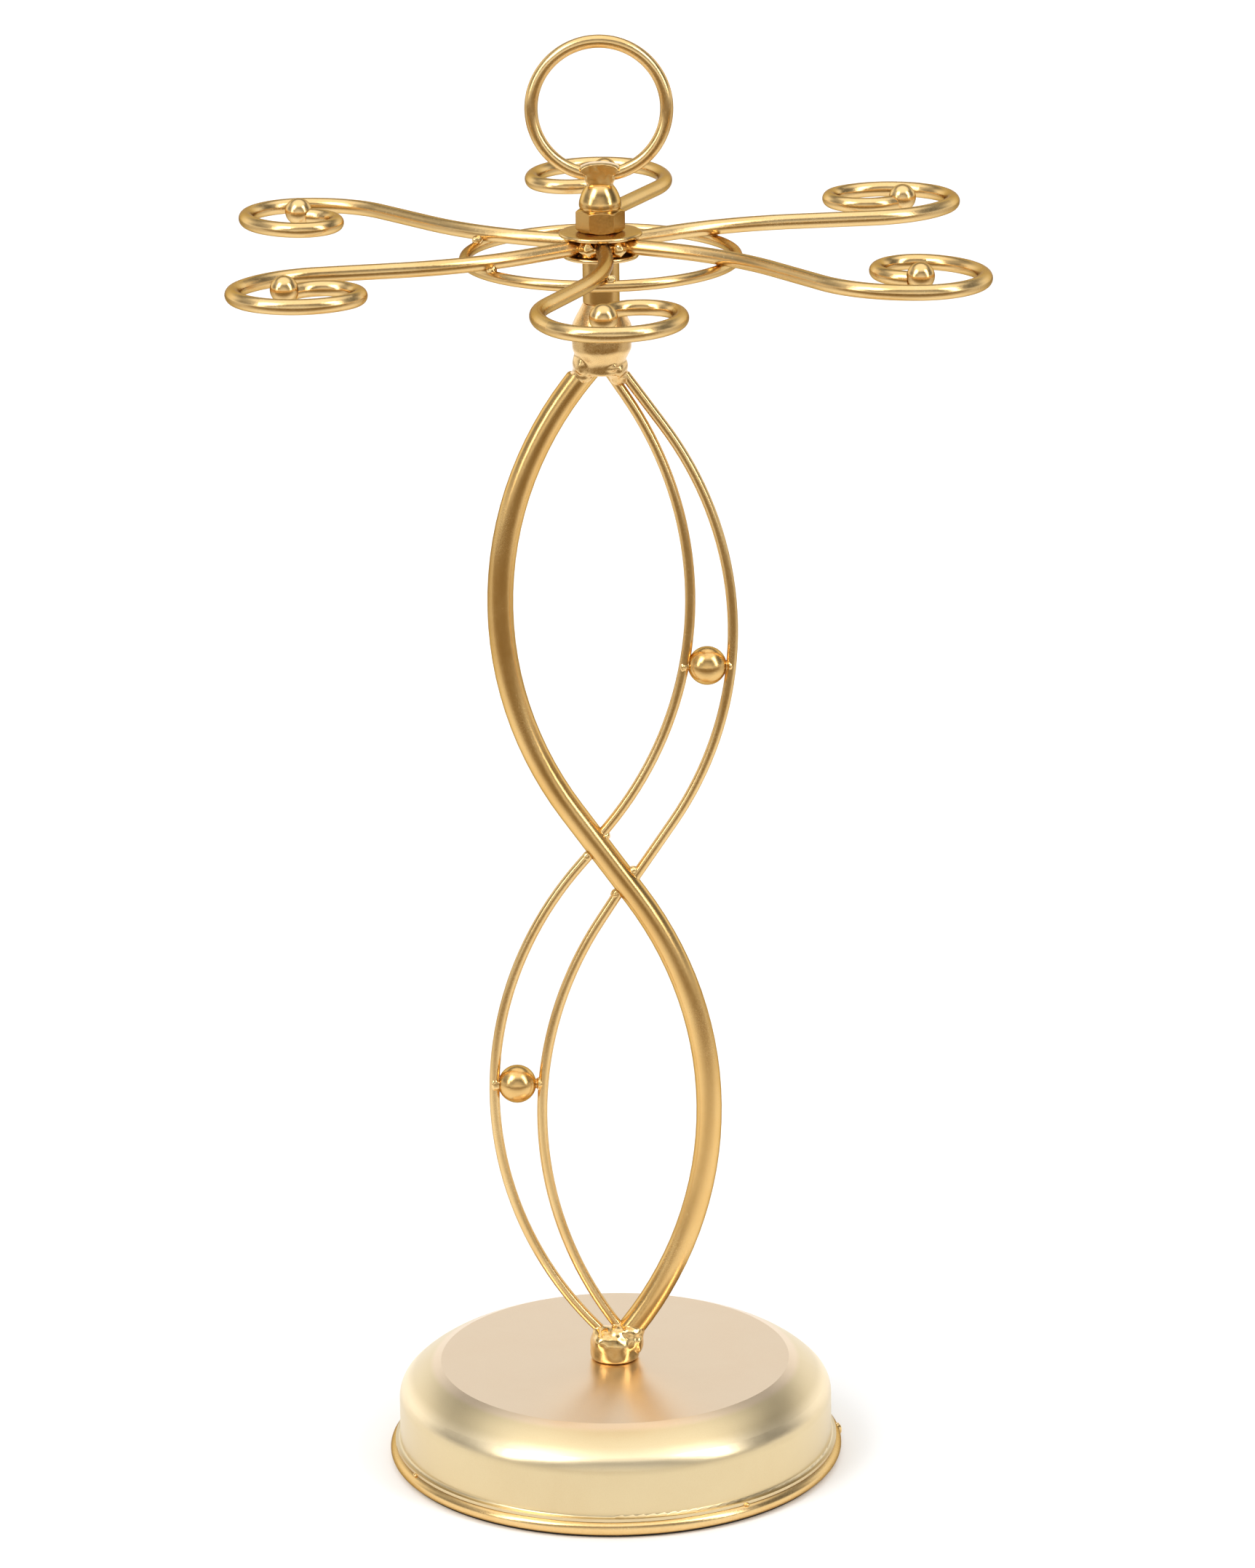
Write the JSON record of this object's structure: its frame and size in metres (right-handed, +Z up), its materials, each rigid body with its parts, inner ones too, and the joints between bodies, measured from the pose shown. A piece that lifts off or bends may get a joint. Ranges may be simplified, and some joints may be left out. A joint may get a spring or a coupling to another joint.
{
  "type": "mug tree",
  "caption": "Free-standing mug tree: weighted round base, bent stem of tube and wire, and a turning carousel of scroll hooks under a domed nut with a lifting ring.",
  "frame": {"origin": "centre of the base's underside, on the axis the carousel turns about", "axes": "+Z up the axis; the stem's bends lie in the XZ plane, with the tube's lower half towards +X"},
  "size_m": [0.2273, 0.2494, 0.4572],
  "materials": {
    "gold_satin": "satin gold plate, fine grain",
    "gold_bright": "glossy gold plate on drawn wire",
    "gold_dark": "glossy darker gold plate",
    "weld": "lumpy weld metal under gold plate",
    "steel": "zinc-plated steel",
    "iron": "bare sheet iron",
    "foam": "matt black foam sheet"
  },
  "bodies": {
    "stand": {"base_shell": "gold_satin", "base_bead": "gold_bright", "bead_weld": "weld", "base_pad": "foam", "ballast_disc": "iron", "base_screw": "steel", "base_washer": "steel", "lower_boss": "gold_satin", "stem_tube": "gold_satin", "lower_outer_wire": "gold_bright", "lower_inner_wire": "gold_bright", "upper_inner_wire": "gold_bright", "upper_outer_wire": "gold_bright", "lower_ball": "gold_satin", "upper_ball": "gold_satin", "lower_weld": "weld", "upper_weld": "weld", "crossing_welds": "weld", "ball_welds": "weld", "upper_boss": "gold_satin", "pillar": "gold_satin", "stud": "steel", "lower_washer": "gold_bright"},
    "carousel": {"hub": "gold_bright", "hub_welds": "weld", "support_ring": "gold_bright", "ring_welds": "weld", "arm_1": "gold_bright", "arm_2": "gold_bright", "arm_3": "gold_bright", "arm_4": "gold_bright", "arm_5": "gold_bright", "arm_6": "gold_bright", "tip_ball_1": "gold_bright", "tip_ball_2": "gold_bright", "tip_ball_3": "gold_bright", "tip_ball_4": "gold_bright", "tip_ball_5": "gold_bright", "tip_ball_6": "gold_bright"},
    "clamp_washer": {"upper_washer": "gold_bright"},
    "handle": {"cap_nut": "gold_dark", "handle_ring": "gold_bright", "handle_weld": "weld"}
  },
  "joints": [
    {"name": "carousel_spin", "type": "hinge", "parent": "stand", "child": "carousel", "pos_m": [0, 0, 0.3933], "axis": [0, 0, 1], "continuous": true},
    {"name": "nut_rise", "type": "slide", "parent": "stand", "child": "clamp_washer", "axis": [0, 0, 1], "range_m": [0, 0.0101]},
    {"name": "nut_unscrew", "type": "hinge", "parent": "clamp_washer", "child": "handle", "pos_m": [0, 0, 0.3975], "axis": [0, 0, 1], "range_deg": [0, 2880]}
  ],
  "couplings": [
    {"joint": "nut_rise", "follows": "nut_unscrew", "m_per_rad": 0.00019894}
  ]
}
